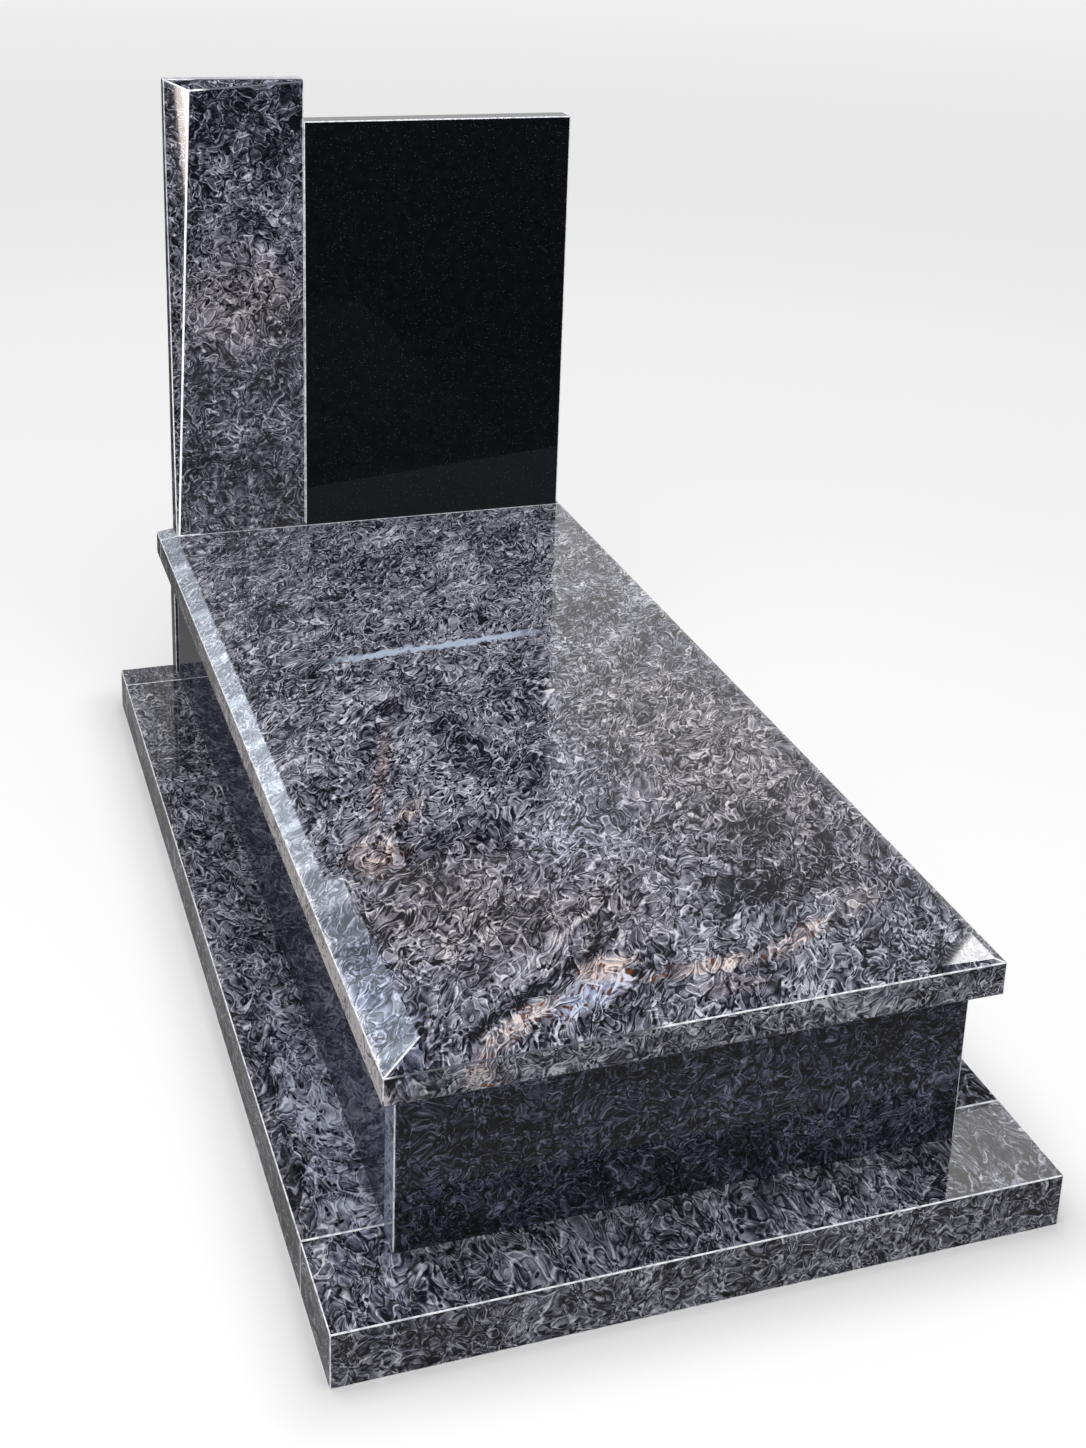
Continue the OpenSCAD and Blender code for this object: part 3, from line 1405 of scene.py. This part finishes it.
    def build(self) -> None:
        """Builds everything round the monument."""
        self.build_floor()
        self.build_world()
        for lamp in [*self.lamps, *self.bevel_boxes()]:
            lamp.build()
            log.info("lamp %s", lamp.name)
        self.build_camera()

    def build_floor(self) -> None:
        """Lays the floor, which looks lighter outwards and carries a painted shadow beside the kerb."""
        work = bmesh.new()
        bmesh.ops.create_grid(work, x_segments=2, y_segments=2, size=self.floor_half)
        mesh = bpy.data.meshes.new("floor")
        work.to_mesh(mesh)
        work.free()
        material = bpy.data.materials.new("floor_paper")
        graph = Graph(material)
        here = graph.here()
        seen = graph.node("ShaderNodeLightPath", {}, {}, output="Is Camera Ray")
        light = self.own_light(graph, here) * seen
        glow = graph.node("ShaderNodeCombineColor", {}, {0: light, 1: light, 2: light})
        mirrored = graph.math("MAXIMUM", seen.other("Is Glossy Ray"), seen.other("Is Transmission Ray"))
        far = graph.step(graph.length(here), *self.floor_turn)
        paper = graph.mix(mirrored, self.floor_colour, graph.mix(far, self.floor_near, self.floor_away))
        graph.surface(
            {
                "Base Color": paper,
                "Roughness": 1.0,
                "Specular IOR Level": 0.0,
                "Emission Color": glow,
                "Emission Strength": 1.0,
            }
        )
        mesh.materials.append(material)
        floor = bpy.data.objects.new("floor", mesh)
        bpy.context.scene.collection.objects.link(floor)

    def own_light(self, graph: Graph, here: Link) -> Link:
        """How light the floor looks by itself: lighter outwards, with a painted shadow beside the kerb.

        Args:
            graph: The floor's graph.
            here: The point on the floor, in metres.

        Returns:
            The strength of its glow.
        """
        far = graph.length(here)
        light = self.floor_lift
        for start, end, gain in self.floor_tones:
            light = light + graph.step(far, start, end) * gain
        # A painted shadow darkens the floor beside the kerb, for the camera only
        return light - self.painted_contact_shadow(graph, here)

    def painted_contact_shadow(self, graph: Graph, here: Link) -> Link:
        """The painted shadow beside the kerb: how much darker the floor looks there.

        Args:
            graph: The floor's graph.
            here: The point on the floor, in metres.

        Returns:
            What is taken from its light.
        """
        half_width, half_length = CAD_BOX[1][0], CAD_BOX[1][1]
        apart = graph.node("ShaderNodeSeparateXYZ", {}, {0: here}, output="X")
        beside = graph.math("MAXIMUM", abs(apart) - half_width, 0.0)
        before = graph.math("MAXIMUM", abs(apart.other("Y")) - half_length, 0.0)
        gap = graph.math("SQRT", beside * beside + before * before)
        near = graph.step(gap, self.contact_reach, 0.0)
        return graph.math("POWER", near, self.contact_curve) * self.contact_shade

    def build_world(self) -> None:
        """Sets the backdrop that the camera and the gloss see, and the sky that lights the rest."""
        world = bpy.data.worlds.new("studio")
        bpy.context.scene.world = world
        graph = Graph(world)
        path = graph.node("ShaderNodeLightPath", {}, {}, output="Is Camera Ray")
        mirrored = graph.math("MAXIMUM", path.other("Is Glossy Ray"), path.other("Is Transmission Ray"))
        rest = 1 - graph.math("MAXIMUM", path, mirrored)
        aim = graph.node("ShaderNodeTexCoord", {}, {}, output="Generated")
        height = graph.node("ShaderNodeSeparateXYZ", {}, {0: aim}, output="Z")
        open_side = graph.step(height.other("X"), *self.wall_side)
        wall = graph.step(height, *self.wall_top) * open_side * self.gloss_backdrop + self.gloss_ceiling
        strength = path * self.backdrop + mirrored * wall + rest * self.sky
        shader = graph.node("ShaderNodeBackground", {}, {"Color": (1.0, 1.0, 1.0, 1.0), "Strength": strength})
        graph.node("ShaderNodeOutputWorld", {}, {"Surface": shader})

    def build_camera(self) -> None:
        """Stands the camera off the left front corner, looking down along the slab, in plain colours."""
        pitch = math.radians(self.camera_pitch)
        yaw = math.radians(self.camera_yaw)
        roll = math.radians(self.camera_roll)
        ahead = Vector((math.sin(yaw) * math.cos(pitch), math.cos(yaw) * math.cos(pitch), math.sin(pitch)))
        level = Vector((math.cos(yaw), -math.sin(yaw), 0.0))
        upright = level.cross(ahead)
        across = math.cos(roll) * level + math.sin(roll) * upright
        above = math.cos(roll) * upright - math.sin(roll) * level
        data = bpy.data.cameras.new("camera")
        data.lens = self.camera_lens
        data.sensor_width = self.camera_sensor
        data.sensor_fit = "AUTO"
        data.shift_y = self.camera_shift
        data.clip_end = self.camera_reach
        made = bpy.data.objects.new("camera", data)
        turn = Matrix((across, above, -ahead)).transposed().to_4x4()
        made.matrix_world = Matrix.Translation(self.camera_place) @ turn
        bpy.context.scene.collection.objects.link(made)
        bpy.context.scene.camera = made
        bpy.context.scene.view_settings.view_transform = "Standard"


# --------------------------------------------------------------------------------------
# The whole
# --------------------------------------------------------------------------------------


def main() -> None:
    """Builds the monument, course by course from the ground, and then the studio round it."""
    logging.basicConfig(level=logging.INFO, format="%(name)s: %(message)s")
    # Where the front kerb stone meets the box and the stele stands on the strip
    dark_feet = (
        Zone((0.0, -0.84, 0.08), (0.42, 0.012, 0.008)),
        Zone((0.14, 0.90, 0.38), (0.30, 0.02, 0.01)),
    )
    edge = GroundArris(stone=shade(30, 32, 38), plain=dark_feet).material("ground_arris")
    kerb = Course(
        nodes=("kerb_front", "kerb_back", "kerb_left", "kerb_right"),
        seats=((12.0, 77.0, 5.0), (310.0, -40.0, 60.0), (-90.0, 210.0, 33.0), (57.0, -160.0, 91.0)),
        turns=((0.0, 0.0, 0.0),) * 4,
        lift=-0.03,
        zones=(Zone((-0.42, -0.55, 0.08), (0.06, 0.4, 0.05), lift=0.2, cool=0.5),),
        stretch=(1.0, 1.7, 1.0),
    )
    # The box's panels run darker and bluer than the other stones: partly their stone, partly painted shade
    # under the slab's overhang
    box_panels = Course(
        nodes=("box_front", "box_back", "box_right"),
        seats=((-33.0, 15.0, 120.0), (81.0, 44.0, -70.0), (-150.0, 36.0, -22.0)),
        turns=((90.0, 0.0, 0.0), (90.0, 0.0, 10.0), (0.0, 90.0, 12.0)),
        lift=-0.17,
        body=(0.46, 0.505, 0.62, 1.0),
        zones=(Zone((-0.397, -0.8175, 0.2), (0.005, 0.06, 0.4), lift=0.9),),
    )
    # The left panel runs darker, bluer and calmer still: partly its stone, partly painted shade, as it stands
    # in shade under the slab
    left_panel = Course(
        nodes=("box_left",),
        seats=((205.0, -71.0, 48.0),),
        turns=((0.0, 90.0, 0.0),),
        lift=-0.1,
        body=(0.38, 0.42, 0.55, 1.0),
        calm=0.78,
        specular=0.12,
    )
    made = [*kerb.build(edge), *box_panels.build(edge), *left_panel.build(edge)]
    made += [*Cover().build(), *Headstone().build(edge)]
    log.info("%d pieces", len(made))
    Studio().build()


if __name__ == "__main__":
    main()
